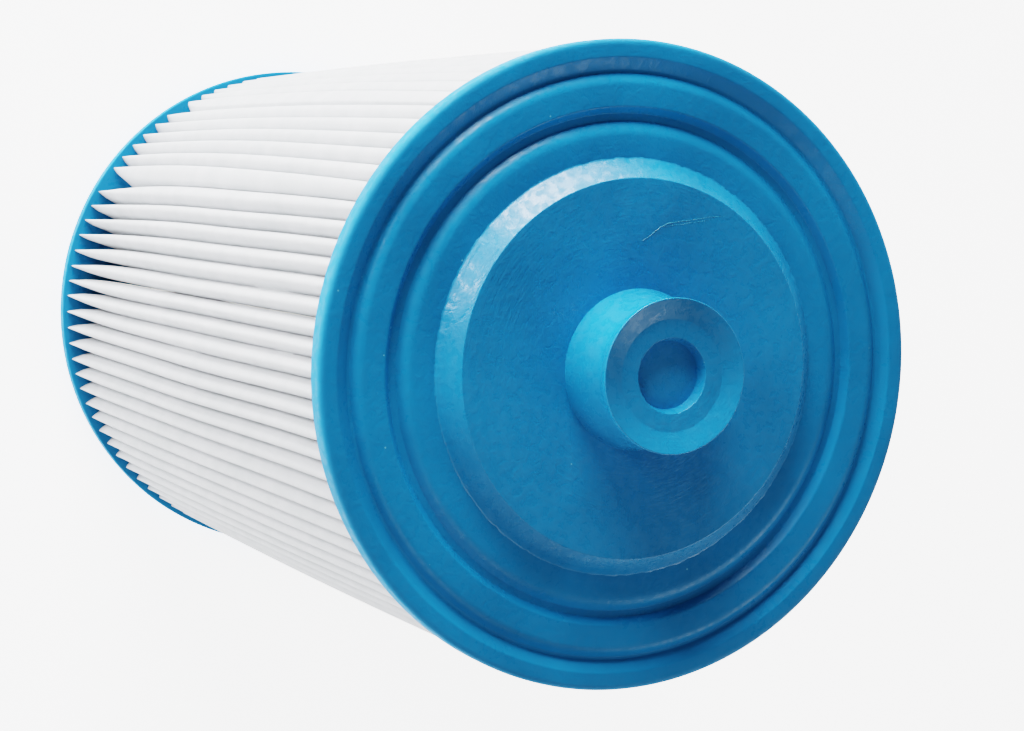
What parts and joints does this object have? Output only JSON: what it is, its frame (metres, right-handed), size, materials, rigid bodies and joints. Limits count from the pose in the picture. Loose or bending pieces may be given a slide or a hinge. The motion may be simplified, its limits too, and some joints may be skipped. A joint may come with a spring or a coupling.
{
  "type": "filter cartridge",
  "caption": "Pleated cylindrical pool and spa filter cartridge with a closed top cap, a spool-shaped pull knob and an open outlet in the foot cap.",
  "frame": {"origin": "centre of the foot gasket's lower face, on the cartridge's axis", "axes": "+Z along the cartridge's axis from the open foot cap to the closed cap and its knob; the sheet's glued seam is on the -Y side"},
  "size_m": [0.18, 0.18, 0.3137],
  "materials": {
    "cap_blue": "satin cast polyurethane",
    "knob_blue": "satin moulded polyurethane with fine wrinkles",
    "media": "matte spunbonded polyester",
    "hot_melt": "translucent hot-melt glue",
    "core_plastic": "satin moulded plastic",
    "gasket_rubber": "matte rubber"
  },
  "bodies": {
    "root": {"closed_end_cap": "cap_blue", "knob_insert": "knob_blue", "open_end_cap": "cap_blue", "pleated_media": "media", "media_seam": "hot_melt", "core_lower": "core_plastic", "core_middle": "core_plastic", "core_upper": "core_plastic", "core_plug": "core_plastic", "outlet_collar": "core_plastic", "foot_gasket": "gasket_rubber"}
  },
  "joints": []
}
